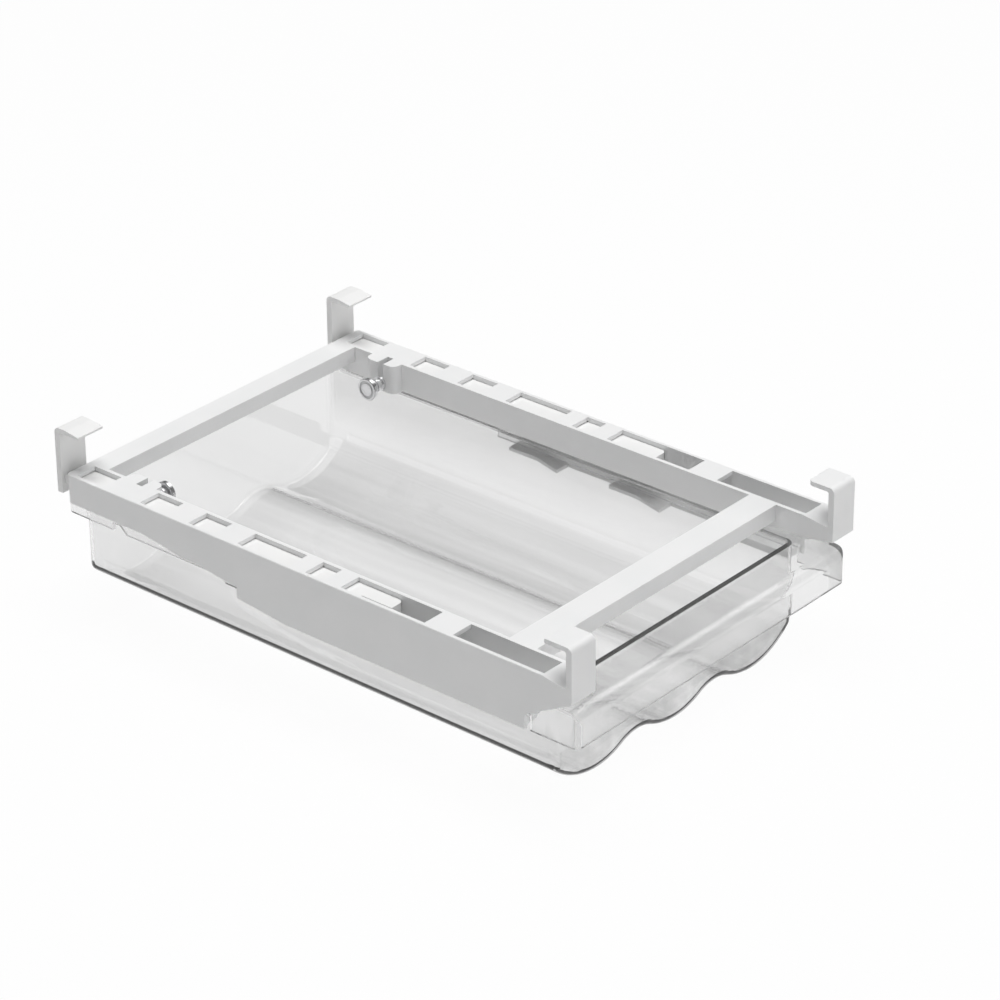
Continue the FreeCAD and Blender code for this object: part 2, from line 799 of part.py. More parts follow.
def build_inner_ring(side_name):
    """The bearing's inner ring, with a groove that the balls run in."""
    side = SIDES[side_name]
    low = BEARING_FACE
    high = BEARING_FACE + S.bearing_width
    middle = BEARING_FACE + S.bearing_width / 2
    groove = S.ball_radius + S.ball_clearance
    half = half_groove(groove, S.ball_circle - S.ring_land_inner)
    corners = [
        (low, S.bearing_bore),
        (high, S.bearing_bore),
        (high, S.ring_land_inner),
        (middle + half, S.ring_land_inner),
        (middle - half, S.ring_land_inner),
        (low, S.ring_land_inner),
    ]
    return turned(side_name + "_bearing_inner_ring", side, [(corners, {3: (groove, -1)})])


def half_groove(radius, distance):
    """Half the width of a groove of this radius, at this distance from its centre."""
    return (radius * radius - distance * distance).root()


def build_outer_ring(side_name):
    """The bearing's outer ring, the roller itself, with a seat for a shield on each face."""
    side = SIDES[side_name]
    low = BEARING_FACE
    high = BEARING_FACE + S.bearing_width
    middle = BEARING_FACE + S.bearing_width / 2
    groove = S.ball_radius + S.ball_clearance
    half = half_groove(groove, S.ring_land_outer - S.ball_circle)
    corners = [
        (low, S.shield_seat_radius),
        (low, S.bearing_radius - S.bearing_chamfer),
        (low + S.bearing_chamfer, S.bearing_radius),
        (high - S.bearing_chamfer, S.bearing_radius),
        (high, S.bearing_radius - S.bearing_chamfer),
        (high, S.shield_seat_radius),
        (high - S.shield_seat_depth, S.shield_seat_radius),
        (high - S.shield_seat_depth, S.ring_land_outer),
        (middle + half, S.ring_land_outer),
        (middle - half, S.ring_land_outer),
        (low + S.shield_seat_depth, S.ring_land_outer),
        (low + S.shield_seat_depth, S.shield_seat_radius),
    ]
    return turned(side_name + "_bearing_outer_ring", side, [(corners, {8: (groove, 1)})])


def build_shields(side_name):
    """Two thin discs pressed into the outer ring, which hide the balls."""
    side = SIDES[side_name]
    outlines = []
    near_face = BEARING_FACE + S.shield_seat_depth - S.shield_thickness
    far_face = BEARING_FACE + S.bearing_width - S.shield_seat_depth
    for low in (near_face, far_face):
        outlines.append((box_corners(low, low + S.shield_thickness, S.shield_bore,
                                     S.shield_seat_radius), {}))
    return turned(side_name + "_bearing_shields", side, outlines)


def build_balls(side_name):
    """A full row of balls between the rings."""
    side = SIDES[side_name]
    middle = (BEARING_FACE + S.bearing_width / 2) * side
    balls = []
    for index in range(BALL_COUNT):
        angle = 2 * math.pi * index / BALL_COUNT
        ball = doc.addObject("Part::Sphere", f"{side_name}_ball_{index + 1}")
        bind(ball, "Radius", S.ball_radius)
        ball.setExpression("Placement.Base.x", middle.text)
        ball.setExpression("Placement.Base.y", (AXLE_Y + S.ball_circle * math.cos(angle)).text)
        ball.setExpression("Placement.Base.z", (AXLE_Z + S.ball_circle * math.sin(angle)).text)
        balls.append(ball)
    group = doc.addObject("Part::Compound", side_name + "_bearing_balls")
    group.Label = side_name + "_bearing_balls"
    group.Links = balls
    place(group)
    return group


# Clear tray

def tray_section(half_width, radius, rim):
    """Walls and three hollow lobes, all with their centres at the same height."""
    centre = BOTTOM + S.lobe_radius
    ridge = S.lobe_pitch / 2
    crest = centre - (radius * radius - ridge * ridge).root()
    offset = half_width - S.lobe_pitch
    foot = centre - (radius * radius - offset * offset).root()
    corners = [
        (-half_width, rim),
        (-half_width, foot),
        (-ridge, crest),
        (ridge, crest),
        (half_width, foot),
        (half_width, rim),
    ]
    return corners, {1: (radius, 1), 2: (radius, 1), 3: (radius, 1)}


def along_y(along):
    return abs(along.y) > 0.999


def tray_shell(body):
    sketch = make_sketch(body, "TrayOutside", "XZ_Plane", lift=-S.tray_front)
    draw(sketch, *tray_section(TRAY_OUT, S.lobe_radius, RIM))
    extrude(body, "Pad", "TrayBlock", sketch, TRAY_REAR - S.tray_front, reverse=True)
    round_edges(body, "OutsideCorners", S.tray_corner_round,
                lambda middle, along: upright(along) and near(abs(middle.x), TRAY_OUT))
    round_edges(body, "OutsideCrests", S.lobe_crest_round - S.tray_wall,
                lambda middle, along: along_y(along) and near(abs(middle.x), S.lobe_pitch / 2))
    round_floor(body, "OutsideFloor", S.tray_floor_round + S.tray_wall, TRAY_OUT, S.tray_front, TRAY_REAR)


def round_floor(body, name, radius, half_width, front, rear):
    """Round the foot of the four walls of one surface, all round the three lobes."""
    top = number_of(BOTTOM + S.tray_height / 4)
    side = number_of(half_width)
    low, high = number_of(front), number_of(rear)

    def at_foot(middle, along):
        if middle.z > top or upright(along):
            return False
        if along_y(along):
            return near(abs(middle.x), side)
        return abs(middle.x) < side + 0.05 and low - 0.05 < middle.y < high + 0.05 and (
            middle.y < low + number_of(S.tray_wall) * 0.9
            or middle.y > high - number_of(S.tray_wall) * 0.9
            or abs(middle.x) > side - number_of(S.tray_corner_round))

    round_edges(body, name, radius, at_foot)


def tray_flange(body):
    """The rim plate, with its sides turned down to the skirts that run on the ledges."""
    inside = FLANGE_OUT - S.tray_wall
    sketch = make_sketch(body, "FlangeSection", "XZ_Plane", lift=-S.tray_front)
    draw(sketch, [
        (-FLANGE_OUT, FLANGE_DEEP),
        (-inside, FLANGE_DEEP),
        (-inside, RIM - S.tray_wall),
        (inside, RIM - S.tray_wall),
        (inside, FLANGE_DEEP),
        (FLANGE_OUT, FLANGE_DEEP),
        (FLANGE_OUT, RIM, S.flange_edge_round),
        (-FLANGE_OUT, RIM, S.flange_edge_round),
    ])
    extrude(body, "Pad", "Flange", sketch, TRAY_REAR - S.tray_front, reverse=True)
    for side_name, side in SIDES.items():
        cut = make_sketch(body, side_name + "FlangeEdge", "YZ_Plane",
                          lift=(TRAY_OUT + S.tray_wall) * side)
        tail = S.flange_tail_round
        draw(cut, [
            (FLANGE_DEEP_END, FLANGE_DEEP - CLEAR),
            (TRAY_REAR + CLEAR, FLANGE_DEEP - CLEAR),
            (TRAY_REAR + CLEAR, FLANGE_SHALLOW + tail),
            (TRAY_REAR, FLANGE_SHALLOW + tail),
            (TRAY_REAR - tail, FLANGE_SHALLOW),
            (FLANGE_GAP_END, FLANGE_SHALLOW),
            (FLANGE_GAP_END, FLANGE_SHALLOW + S.flange_gap_height),
            (FLANGE_GAP_START + S.flange_gap_slope, FLANGE_SHALLOW + S.flange_gap_height),
            (FLANGE_GAP_START, FLANGE_SHALLOW),
            (FLANGE_DEEP_END, FLANGE_SHALLOW),
        ], bows={3: (tail, -1)})
        extrude(body, "Pocket", side_name + "FlangeCut", cut, reverse=side > 0)


def tray_lip(body):
    """The hollow front lip that is pulled by hand, and the deep sides behind it."""
    drop = RIM - S.lip_slope
    lip = make_sketch(body, "LipOutline", "YZ_Plane")
    draw(lip, [
        (S.tray_front, RIM),
        (S.lip_setback, drop, S.lip_round),
        (S.lip_setback, LIP_BOTTOM),
        (S.tray_front, LIP_BOTTOM),
    ])
    extrude(body, "Pad", "Lip", lip, FLANGE_OUT * 2, both_ways=True)
    hollow = make_sketch(body, "LipHollowOutline", "YZ_Plane")
    draw(hollow, [
        (S.tray_front, RIM - S.tray_wall),
        (S.lip_setback + S.tray_wall, drop - S.tray_wall, S.lip_round - S.tray_wall),
        (S.lip_setback + S.tray_wall, LIP_BOTTOM - CLEAR),
        (S.tray_front, LIP_BOTTOM - CLEAR),
    ])
    extrude(body, "Pocket", "LipHollow", hollow, (FLANGE_OUT - S.tray_wall) * 2, both_ways=True)
    for side_name, side in SIDES.items():
        cheek = make_sketch(body, side_name + "CheekOutline", "YZ_Plane", lift=FLANGE_OUT * side)
        draw(cheek, box_corners(S.tray_front, S.lip_side_length, LIP_BOTTOM, RIM - S.tray_wall))
        extrude(body, "Pad", side_name + "Cheek", cheek, S.tray_wall, reverse=side > 0)


def tray_corners(body):
    """Round the four plan corners of the rim and the lip."""
    sketch = make_sketch(body, "PlanCorners", "XY_Plane")
    for side in SIDES.values():
        for y, radius, y_side in ((S.lip_setback, S.lip_corner_round, -1),
                                  (TRAY_REAR, S.lip_corner_round, 1)):
            corners, bows = corner_outline(FLANGE_OUT * side, y, radius, side, y_side)
            draw(sketch, corners, bows)
    extrude(body, "Pocket", "PlanCornerCut", sketch)


def tray_hollow(body):
    """The egg space, with its rounded corners and the soft ridges between the lobes."""
    inside = TRAY_OUT - S.tray_wall
    front = S.tray_front + S.tray_wall
    rear = TRAY_REAR - S.tray_wall
    sketch = make_sketch(body, "TrayInside", "XZ_Plane", lift=-front)
    draw(sketch, *tray_section(inside, S.lobe_radius - S.tray_wall, RIM + CLEAR))
    extrude(body, "Pocket", "EggSpace", sketch, rear - front)
    round_edges(body, "InsideCorners", S.tray_corner_round - S.tray_wall,
                lambda middle, along: upright(along) and near(abs(middle.x), inside)
                and (near(middle.y, front) or near(middle.y, rear)))
    round_edges(body, "InsideCrests", S.lobe_crest_round,
                lambda middle, along: along_y(along) and near(abs(middle.x), S.lobe_pitch / 2)
                and middle.z > number_of(BOTTOM + S.tray_wall * 3))
    round_floor(body, "InsideFloor", S.tray_floor_round, inside, front, rear)


def low_rear_rim(body):
    """The rear wall stops lower between its corners, to pass under the rollers."""
    half = TRAY_OUT - S.low_rim_corner
    sketch = make_sketch(body, "LowRimOutline", "XZ_Plane", lift=-TRAY_REAR - S.tray_wall)
    draw(sketch, box_corners(-half, half, RIM - S.low_rear_rim, RIM + CLEAR))
    extrude(body, "Pocket", "LowRim", sketch, S.tray_wall * 2.5, reverse=True)


def build_tray():
    body = make_body("egg_tray")
    tray_shell(body)
    tray_flange(body)
    tray_lip(body)
    tray_corners(body)
    tray_hollow(body)
    low_rear_rim(body)
    return body


def check_document():
    """Stop if any object of the document failed to compute."""
    for item in doc.Objects:
        if "Invalid" in item.State or "Error" in item.State:
            raise RuntimeError(f"{item.Name} failed: {item.State}")


def check_piece(piece):
    if piece.Shape.isNull() or not piece.Shape.isValid() or not piece.Shape.Solids:
        raise RuntimeError(f"{piece.Label} has no valid solid")


pieces = [build_frame(), build_tray()]
for side_name in SIDES:
    pieces.append(build_rear_hook(side_name))
    pieces.append(build_stud(side_name))
    pieces.append(build_inner_ring(side_name))
    pieces.append(build_outer_ring(side_name))
    pieces.append(build_shields(side_name))
    pieces.append(build_balls(side_name))

doc.recompute()
check_document()
os.makedirs("parts", exist_ok=True)
for piece in pieces:
    check_piece(piece)
for piece in pieces:
    piece.Shape.exportStep(f"parts/{piece.Label}.step")
    box = piece.Shape.BoundBox
    print(f"{piece.Label}: {len(piece.Shape.Solids)} solid(s), {piece.Shape.Volume:.1f} mm3, "
          f"{box.XLength:.2f} x {box.YLength:.2f} x {box.ZLength:.2f} mm")
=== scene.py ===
import bpy
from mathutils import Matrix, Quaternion, Vector

# Hanging egg drawer: white hooked frame, clear lobed tray and two small metal rollers.
# Metres, front towards -Y, lowest point of the tray at Z = 0.

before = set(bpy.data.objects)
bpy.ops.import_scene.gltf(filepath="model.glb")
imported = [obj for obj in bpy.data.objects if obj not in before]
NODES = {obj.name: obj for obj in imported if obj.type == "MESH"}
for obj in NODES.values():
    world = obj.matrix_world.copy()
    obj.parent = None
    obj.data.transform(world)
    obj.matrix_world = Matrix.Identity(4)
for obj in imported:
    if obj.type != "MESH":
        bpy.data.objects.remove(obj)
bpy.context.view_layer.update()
SIDES = ("left", "right")


# Node helpers: the first argument is the material or world that owns the nodes.

WHITE = (1, 1, 1, 1)


def new_material(name):
    """A material with nodes, and its Principled shader."""
    material = bpy.data.materials.new(name)
    material.use_nodes = True
    shader = next(n for n in material.node_tree.nodes if n.type == "BSDF_PRINCIPLED")
    return material, shader


def add(owner, kind, values=None, **settings):
    """One shader node with its settings and its unlinked socket values."""
    node = owner.node_tree.nodes.new(kind)
    for key, value in settings.items():
        setattr(node, key, value)
    for key, value in (values or {}).items():
        node.inputs[key].default_value = value
    return node


def join(owner, start, end):
    owner.node_tree.links.new(start, end)


def feed(owner, value, socket):
    """Set a number on a socket, or link another node's output to it."""
    if isinstance(value, (int, float)):
        socket.default_value = value
    else:
        join(owner, value, socket)


def calc(owner, operation, *values):
    """One math node on sockets or numbers."""
    node = add(owner, "ShaderNodeMath", operation=operation)
    for index, value in enumerate(values):
        feed(owner, value, node.inputs[index])
    return node.outputs[0]


def chain(owner, operation, result, *others):
    """The same operation over two or more values in turn."""
    for value in others:
        result = calc(owner, operation, result, value)
    return result


def product(owner, *values):
    """The values multiplied: for 0 and 1, whether all of them hold."""
    return chain(owner, "MULTIPLY", *values)


def highest(owner, *values):
    """The highest value: for 0 and 1, whether any of them holds."""
    return chain(owner, "MAXIMUM", *values)


def inverse(owner, value):
    return calc(owner, "SUBTRACT", 1.0, value)


def is_over(owner, value, limit):
    return calc(owner, "GREATER_THAN", value, limit)


def is_under(owner, value, limit):
    return calc(owner, "LESS_THAN", value, limit)


def between(owner, value, low, high):
    """1 where the value lies between two numbers."""
    return product(owner, is_over(owner, value, low), is_under(owner, value, high))


def mix_shaders(owner, share, first, second):
    """Two shaders, the second with the given share."""
    node = add(owner, "ShaderNodeMixShader")
    feed(owner, share, node.inputs["Fac"])
    join(owner, first, node.inputs[1])
    join(owner, second, node.inputs[2])
    return node.outputs[0]


def glass_rays(owner, path):
    """1 for rays that gloss or glass sends on."""
    return highest(owner, path.outputs["Is Glossy Ray"], path.outputs["Is Transmission Ray"])


def coordinates(owner, kind):
    """X, Y and Z of one kind of texture coordinate."""
    place = add(owner, "ShaderNodeTexCoord")
    axes = add(owner, "ShaderNodeSeparateXYZ")
    join(owner, place.outputs[kind], axes.inputs[0])
    return axes.outputs


def noise(owner, scale, detail, roughness=0.5, stretch=(1, 1, 1)):
    """Grey noise in object space, its scale in waves per metre; a stretch under 1 draws it out."""
    place = add(owner, "ShaderNodeTexCoord")
    grid = add(owner, "ShaderNodeVectorMath", {1: stretch}, operation="MULTIPLY")
    texture = add(owner, "ShaderNodeTexNoise",
                  {"Scale": scale, "Detail": detail, "Roughness": roughness})
    join(owner, place.outputs["Object"], grid.inputs[0])
    join(owner, grid.outputs[0], texture.inputs["Vector"])
    return texture.outputs["Fac"]


def spread(owner, source, low, high, low_in=0.3, high_in=0.7):
    """Map a value from one span to another, clamped at its ends."""
    remap = add(owner, "ShaderNodeMapRange",
                {"From Min": low_in, "From Max": high_in, "To Min": low, "To Max": high})
    join(owner, source, remap.inputs["Value"])
    return remap.outputs["Result"]


def tint(owner, source, dark, light):
    """Two close colours mixed by a grey texture."""
    ramp = add(owner, "ShaderNodeValToRGB")
    ends = ramp.color_ramp.elements
    for element, position, colour in zip(ends, (0.3, 0.7), (dark, light)):
        element.position = position
        element.color = (*colour, 1)
    join(owner, source, ramp.inputs["Fac"])
    return ramp.outputs["Color"]


def grey_ramp(owner, source, points):
    """A run of greys: points of position from 0 to 1 and grey."""
    ramp = add(owner, "ShaderNodeValToRGB")
    elements = ramp.color_ramp.elements
    while len(elements) < len(points):
        elements.new(0.5)
    for element, (position, grey) in zip(elements, points):
        element.position = position
        element.color = (grey, grey, grey, 1)
    join(owner, source, ramp.inputs["Fac"])
    return ramp.outputs["Color"]


def scaled(owner, colour, factor):
    """A colour multiplied by one number."""
    node = add(owner, "ShaderNodeVectorMath", operation="SCALE")
    join(owner, colour, node.inputs[0])
    join(owner, factor, node.inputs["Scale"])
    return node.outputs[0]


def bump(owner, shader, source, depth, under=None):
    """A bump of the given strength and height in metres, on top of another one if given."""
    strength, height = depth
    node = add(owner, "ShaderNodeBump", {"Strength": strength, "Distance": height})
    join(owner, source, node.inputs["Height"])
    if under is not None:
        join(owner, under.outputs["Normal"], node.inputs["Normal"])
    join(owner, node.outputs["Normal"], shader.inputs["Normal"])
    return node


# White plastic: textures in waves per metre, bumps as strength and height in metres

PLASTIC_IOR = 1.5
WHITE_SPECULAR = 0.4
WAVE_SCALE, WAVE_BUMP = 60, (0.25, 0.0004)
SKIN_SCALE, SKIN_BUMP, SKIN_ROUGHNESS = 2600, (0.12, 0.00003), (0.38, 0.46)


def white_plastic(name, dark, light, cloud_scale):
    """Satin moulded white plastic: soft waviness, a fine skin and faint cloudiness."""
    material, shader = new_material(name)
    cloud = noise(material, cloud_scale, 2)
    join(material, tint(material, cloud, dark, light), shader.inputs["Base Color"])
    wave = bump(material, shader, noise(material, WAVE_SCALE, 1), WAVE_BUMP)
    skin = noise(material, SKIN_SCALE, 2, 0.6)
    bump(material, shader, skin, SKIN_BUMP, under=wave)
    join(material, spread(material, skin, *SKIN_ROUGHNESS), shader.inputs["Roughness"])
    shader.inputs["IOR"].default_value = PLASTIC_IOR
    shader.inputs["Specular IOR Level"].default_value = WHITE_SPECULAR
    return material


# Clear plastic of the tray: sizes in metres, in object space

FLOOR_TOP, FLOOR_REAR = 0.016, 0.150    # the floor's streaks are below and in front of these
FOOT_TOP, FOOT_REAR = 0.020, 0.147      # the foot, with its painted dark line, is too
REAR_FOOT_TOP = 0.0158                  # and farther back it is below this
FOOT_INSIDE = 0.0838                    # where the rounded foot of a side starts
WALL_INSIDE = 0.0862                    # inner face of the side walls
FRONT_WALL = (-0.1382, -0.1315)         # front wall, along Y
SIDE_SPAN = (-0.1315, 0.1382)           # side walls between the corners, along Y
WAVE_TOP, RIM_LOW = 0.012, 0.0545       # heights that bound the front wall's clear part
LIP_REAR, LIP_FAR = -0.147, 0.094       # the lip's painted dark line is in front and to the right of these
RAIL_SHADE_LOW = 0.046                  # the flange under the rails, with its painted shade, is above this

# Painted shade of the floor's lobes from left to right, as if lit from the left: X and share of
# colour left
FLOOR_PAINTED_SHADE = ((-0.088, 1.0), (-0.0295, 1.0), (-0.027, 0.90), (-0.021, 0.94), (-0.017, 0.90),
              (-0.008, 0.94), (0.010, 1.0), (0.016, 0.98), (0.020, 0.96), (0.027, 0.95),
              (0.030, 0.90), (0.036, 0.95), (0.052, 0.97), (0.056, 0.91), (0.062, 0.94),
              (0.068, 0.88), (0.072, 0.92), (0.076, 0.88), (0.086, 0.95))
STREAK_GREYS, FLOW_GREYS = (0.86, 1.0), (0.965, 0.99)
STREAK_STRETCH = (1, 0.03, 0.1)
FLOW_SCALE, STREAK_SCALE, FINE_SCALE = 14, 150, 500
FLOW_BUMP, STREAK_BUMP = (0.08, 0.0006), (0.12, 0.0006)
CLEAR_ROUGHNESS = (0.0, 0.02)

CLEAR_SHADOW = (0.96, 0.96, 0.96, 1)    # light left after one face, for shadow and soft light
HAZE_GREY = (0.92, 0.92, 0.92, 1)
HAZE, UPPER_HAZE = 0.05, 0.14           # share of a face that scatters, and more at the upper right
UPPER_LOW, UPPER_HIGH = 0.024, 0.044    # heights over which that comes up
PALE_TURNS = 3.5                        # turns inside a wall before a ray ends
DARK_FEWER, FOOT_FEWER = 2.0, 1.0       # turns fewer where painted dark, and fewer again in foot and lip
# Glow where a ray ends: painted light, pale in most places, painted shade under the rails, painted
# dark lines
PAINTED_PALE_END, SHADED_END, PAINTED_DARK_END = 0.66, 0.56, 0.04
INNER_FOOT = 0.35                       # share of painted dark on the floor within the foot


def tray_paint(material, place, streak, flow):
    """Streaks, and painted shade from row to row on the floor as if lit from the left; faint clouds
    elsewhere.
    """
    x, y, z = place
    left, right = FLOOR_PAINTED_SHADE[0][0], FLOOR_PAINTED_SHADE[-1][0]
    # Painted shade: the floor darker or lighter by X, standing in for light from the left
    painted_shade = grey_ramp(material, spread(material, x, 0, 1, left, right),
                     [((across - left) / (right - left), share) for across, share in FLOOR_PAINTED_SHADE])
    elsewhere = highest(material, is_over(material, z, FLOOR_TOP),
                        is_over(material, y, FLOOR_REAR))
    floor_painted_shade = product(material, painted_shade, inverse(material, elsewhere))
    paint = add(material, "ShaderNodeVectorMath", operation="ADD")
    layers = ((streak, STREAK_GREYS, floor_painted_shade), (flow, FLOW_GREYS, elsewhere))
    for slot, (texture, (dark, light), share) in enumerate(layers):
        colour = tint(material, texture, (dark,) * 3, (light,) * 3)
        join(material, scaled(material, colour, share), paint.inputs[slot])
    return paint.outputs[0]


def tray_zones(material, place):
    """Shares of the tray's plastic by place: painted dark lines, painted shade under the rails,
    free of haze, and where rays end sooner in painted dark.
    """
    x, y, z = place
    across = calc(material, "ABSOLUTE", x)
    side_foot = is_over(material, across, FOOT_INSIDE)
    side_wall = product(material, is_over(material, across, WALL_INSIDE),
                        between(material, y, *SIDE_SPAN))
    front = between(material, y, *FRONT_WALL)
    near_foot = product(material, is_under(material, z, FOOT_TOP),
                        is_under(material, y, FOOT_REAR))
    foot = highest(material, near_foot, is_under(material, z, REAR_FOOT_TOP))
    outer_foot = product(material, foot, highest(material, side_foot, front))
    lip = product(material, is_under(material, y, LIP_REAR), is_over(material, x, LIP_FAR))

    # Painted dark lines along the foot, front wall, lip and low side walls; painted shade under the
    # rails
    dark = highest(material, product(material, foot, INNER_FOOT), outer_foot, front, lip,
                   product(material, side_wall, is_under(material, z, RAIL_SHADE_LOW)))
    shaded = product(material, side_wall, is_over(material, z, RAIL_SHADE_LOW))
    front_edges = product(material, front,
                          inverse(material, between(material, z, WAVE_TOP, RIM_LOW)))
    hazeless = highest(material, front_edges, product(material, side_foot, foot))
    sooner_painted_dark = highest(material, outer_foot, lip)
    return dark, shaded, hazeless, sooner_painted_dark


def clear_plastic(name):
    """Polished clear plastic, slightly hazy and drawn streaky from front to rear.

    Light and shadow pass it almost unchanged. A ray that keeps turning inside a wall ends in a
    glowing pale grey, which is painted light, or in painted dark lines along the foot, the front
    wall, the front lip and the low side walls, and in painted shade under the rails.
    """
    material, shader = new_material(name)
    shader.inputs["Transmission Weight"].default_value = 1.0
    shader.inputs["IOR"].default_value = PLASTIC_IOR
    place = coordinates(material, "Object")
    x, _, z = place

    flow = noise(material, FLOW_SCALE, 1)
    streak = noise(material, STREAK_SCALE, 2, 0.6, STREAK_STRETCH)
    join(material, tray_paint(material, place, streak, flow), shader.inputs["Base Color"])
    flow_bump = bump(material, shader, flow, FLOW_BUMP)
    bump(material, shader, streak, STREAK_BUMP, under=flow_bump)
    fine = noise(material, FINE_SCALE, 2)
    join(material, spread(material, fine, *CLEAR_ROUGHNESS), shader.inputs["Roughness"])

    # Haze, on the first face only
    dark, shaded, hazeless, sooner_painted_dark = tray_zones(material, place)
    path = add(material, "ShaderNodeLightPath")
    fresh = is_under(material, path.outputs["Glossy Depth"], 0.5)
    upper_right = product(material, is_over(material, x, WALL_INSIDE),
                          spread(material, z, 0, 1, UPPER_LOW, UPPER_HIGH))
    haze = calc(material, "ADD", HAZE, product(material, upper_right, UPPER_HAZE))
    haze = product(material, fresh, haze, inverse(material, hazeless))
    back = add(material, "ShaderNodeBsdfDiffuse", {"Color": HAZE_GREY})
    onward = add(material, "ShaderNodeBsdfTranslucent", {"Color": HAZE_GREY})
    scatter = mix_shaders(material, 0.5, back.outputs[0], onward.outputs[0])
    hazy = mix_shaders(material, haze, shader.outputs[0], scatter)

    # Shadow and soft light pass straight through
    soft = highest(material, path.outputs["Is Shadow Ray"], path.outputs["Is Diffuse Ray"])
    through = add(material, "ShaderNodeBsdfTransparent", {"Color": CLEAR_SHADOW})
    plastic = mix_shaders(material, soft, hazy, through.outputs[0])

    # The end of a ray that keeps turning: a glowing grey that is painted light, with painted shade
    # under the rails and painted dark lines
    turns = calc(material, "SUBTRACT", PALE_TURNS, product(material, dark, DARK_FEWER))
    turns = calc(material, "SUBTRACT", turns, product(material, sooner_painted_dark, FOOT_FEWER))
    late = is_over(material, path.outputs["Glossy Depth"], turns)
    grey = calc(material, "SUBTRACT", PAINTED_PALE_END, product(material, dark, PAINTED_PALE_END - PAINTED_DARK_END))
    grey = calc(material, "SUBTRACT", grey, product(material, shaded, PAINTED_PALE_END - SHADED_END))
    end = add(material, "ShaderNodeEmission", {"Color": WHITE})
    join(material, grey, end.inputs["Strength"])
    output = next(n for n in material.node_tree.nodes if n.type == "OUTPUT_MATERIAL")
    join(material, mix_shaders(material, late, plastic, end.outputs[0]), output.inputs["Surface"])
    return material


# Steel: a face counts as a bevel by how far its normal leans to X; bevels get painted shade

BEVEL_NORMALS = (0.15, 0.92)
GRAIN_SCALE, GRAIN_BUMP = 4000, (0.1, 0.00002)


def cool_grey(level):
    return (level, level, level + 0.01)


def steel(name, greys, roughness, metal=1.0, painted_bevel_share=1.0):
    """Bright metal with fine turning marks, and painted shade that darkens its bevels to the given
    share of their colour.
    """
    material, shader = new_material(name)
    dark, light = greys
    grain = noise(material, GRAIN_SCALE, 3, 0.6)
    across = calc(material, "ABSOLUTE", coordinates(material, "Normal")["X"])
    slanted = between(material, across, *BEVEL_NORMALS)
    # Painted shade on the bevels
    paint = scaled(material, tint(material, grain, cool_grey(dark), cool_grey(light)),
                   inverse(material, product(material, slanted, 1.0 - painted_bevel_share)))
    join(material, paint, shader.inputs["Base Color"])
    join(material, spread(material, grain, *roughness), shader.inputs["Roughness"])
    shader.inputs["Metallic"].default_value = metal
    bump(material, shader, grain, GRAIN_BUMP)
    return material


# Materials on the nodes

def dress(node, material):
    mesh = NODES[node].data
    mesh.materials.clear()
    mesh.materials.append(material)


# Painted shade on the ring bevels, at 0.6 of their colour
BEARING_STEEL = steel("BearingSteel", (0.66, 0.76), (0.12, 0.22), metal=0.85, painted_bevel_share=0.6)
SIDE_MATERIALS = {
    "_rear_hook": white_plastic("HookPlastic", (0.87, 0.87, 0.865), (0.89, 0.89, 0.885), 55),
    "_roller_stud": steel("TurnedSteel", (0.76, 0.86), (0.14, 0.24), metal=0.75),
    "_bearing_inner_ring": BEARING_STEEL,
    "_bearing_outer_ring": BEARING_STEEL,
    "_bearing_shields": steel("ShieldSteel", (0.50, 0.58), (0.24, 0.34), metal=0.75),
    "_bearing_balls": steel("BallSteel", (0.72, 0.80), (0.05, 0.10)),
}

dress("hanging_frame", white_plastic("WhitePlastic", (0.86, 0.865, 0.865), (0.885,) * 3, 40))
dress("egg_tray", clear_plastic("ClearPlastic"))
for side in SIDES:
    for ending, side_material in SIDE_MATERIALS.items():
        dress(side + ending, side_material)


# Floor, light and camera

FLOOR_HALF, FLOOR_DROP = 8.0, 0.0002    # metres
FLOOR_PAINT = (0.87, 0.87, 0.87, 1)
FLOOR_WHITE, FLOOR_GLASSY_WHITE = 0.95, 0.85    # shares of plain white to the camera and to gloss
FLOOR_GLASSY_DIM = 0.10                 # how much greyer that white is to gloss
ROOM_LIGHT = 0.235
# Grey of the studio that gloss and glass see, by the sine of the height above the horizon
STUDIO_WALL = ((0.0, 0.5), (0.05, 0.12), (0.60, 0.08), (0.76, 0.5), (0.88, 1.0), (0.96, 1.3))
# Soft box to the right: spans of direction over which it comes up or fades, and its grey
BOX_RIGHT, BOX_ACROSS, BOX_UP, BOX_LIGHT = (0.30, 0.55), (0.15, 0.45), (0.45, 0.75), 1.7
# Lamps: name, place, target, size and watts
LAMPS = (("Top", (0.02, 0.1, 1.8), (0, 0, 0.04), 1.2, 25.4),
         ("Front", (0.5, -1.8, 0.8), (0, 0, 0.03), 1.0, 6.5))
CAMERA_LENS, CAMERA_SENSOR = 141.393, 36.0      # millimetres
CAMERA_CLIP = (0.05, 60.0)
CAMERA_PLACE = (-1.228994, -1.081282, 0.936928)
CAMERA_TURN = (0.77726832, 0.46856377, -0.21394313, -0.36128976)


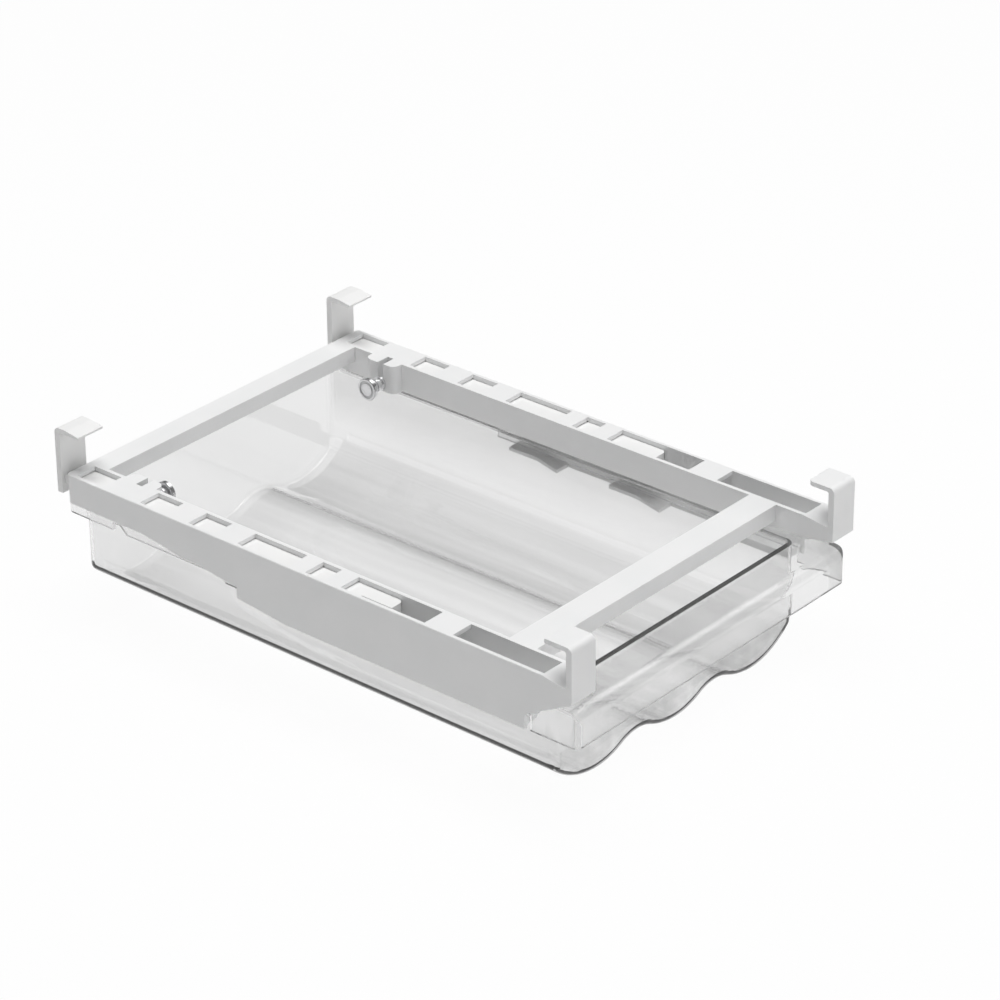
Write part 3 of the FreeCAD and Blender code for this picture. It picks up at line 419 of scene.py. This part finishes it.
def make_floor():
    """Pale floor: nearly white to the camera, a little greyer in gloss and through the plastic."""
    material = bpy.data.materials.new("Floor")
    material.use_nodes = True
    material.node_tree.nodes.clear()
    output = add(material, "ShaderNodeOutputMaterial")
    path = add(material, "ShaderNodeLightPath")
    glassy = glass_rays(material, path)
    share = calc(material, "ADD", product(material, path.outputs["Is Camera Ray"], FLOOR_WHITE),
                 product(material, glassy, FLOOR_GLASSY_WHITE))
    strength = inverse(material, product(material, glassy, FLOOR_GLASSY_DIM))
    paint = add(material, "ShaderNodeBsdfDiffuse", {"Color": FLOOR_PAINT})
    white = add(material, "ShaderNodeEmission", {"Color": WHITE})
    join(material, strength, white.inputs["Strength"])
    join(material, mix_shaders(material, share, paint.outputs[0], white.outputs[0]),
         output.inputs["Surface"])
    mesh = bpy.data.meshes.new("Floor")
    corners = ((-1, -1), (1, -1), (1, 1), (-1, 1))
    mesh.from_pydata([(x * FLOOR_HALF, y * FLOOR_HALF, 0) for x, y in corners],
                     [], [(0, 1, 2, 3)])
    floor = bpy.data.objects.new("Floor", mesh)
    mesh.materials.append(material)
    bpy.context.scene.collection.objects.link(floor)
    floor.location.z = -FLOOR_DROP


def make_world():
    """White to the camera; to gloss and glass a studio, with soft boxes above and to the right."""
    world = bpy.data.worlds.new("Studio")
    bpy.context.scene.world = world
    world.use_nodes = True
    world.node_tree.nodes.clear()
    output = add(world, "ShaderNodeOutputWorld")
    room = add(world, "ShaderNodeBackground", {"Color": WHITE, "Strength": ROOM_LIGHT})
    white = add(world, "ShaderNodeBackground", {"Color": WHITE, "Strength": 1.0})
    studio = add(world, "ShaderNodeBackground", {"Strength": 1.0})
    x, y, z = coordinates(world, "Generated")
    right_box = product(world, spread(world, x, 0, 1, *BOX_RIGHT),
                        spread(world, calc(world, "ABSOLUTE", y), 1, 0, *BOX_ACROSS),
                        spread(world, z, 0, BOX_LIGHT, *BOX_UP))
    wall = grey_ramp(world, z, STUDIO_WALL)
    join(world, calc(world, "ADD", wall, right_box), studio.inputs["Color"])
    path = add(world, "ShaderNodeLightPath")
    unseen = mix_shaders(world, glass_rays(world, path), room.outputs[0], studio.outputs[0])
    seen = mix_shaders(world, path.outputs["Is Camera Ray"], unseen, white.outputs[0])
    join(world, seen, output.inputs["Surface"])


def add_lamp(name, place, target, size, watts):
    """Square lamp that lights the part but doesn't mirror in it."""
    lamp = bpy.data.lights.new(name, "AREA")
    lamp.shape = "SQUARE"
    lamp.size = size
    lamp.energy = watts
    item = bpy.data.objects.new(name, lamp)
    bpy.context.scene.collection.objects.link(item)
    item.location = place
    item.rotation_mode = "QUATERNION"
    item.rotation_quaternion = (Vector(target) - Vector(place)).to_track_quat("-Z", "Y")
    item.visible_glossy = False


def make_camera():
    """The photograph's camera, solved from the straight edges in it."""
    camera = bpy.data.cameras.new("Camera")
    camera.lens = CAMERA_LENS
    camera.sensor_width = CAMERA_SENSOR
    camera.clip_start, camera.clip_end = CAMERA_CLIP
    item = bpy.data.objects.new("Camera", camera)
    bpy.context.scene.collection.objects.link(item)
    item.location = CAMERA_PLACE
    item.rotation_mode = "QUATERNION"
    item.rotation_quaternion = Quaternion(CAMERA_TURN)
    bpy.context.scene.camera = item


make_floor()
make_world()
for lamp_values in LAMPS:
    add_lamp(*lamp_values)
make_camera()
bpy.context.scene.view_settings.view_transform = "Standard"
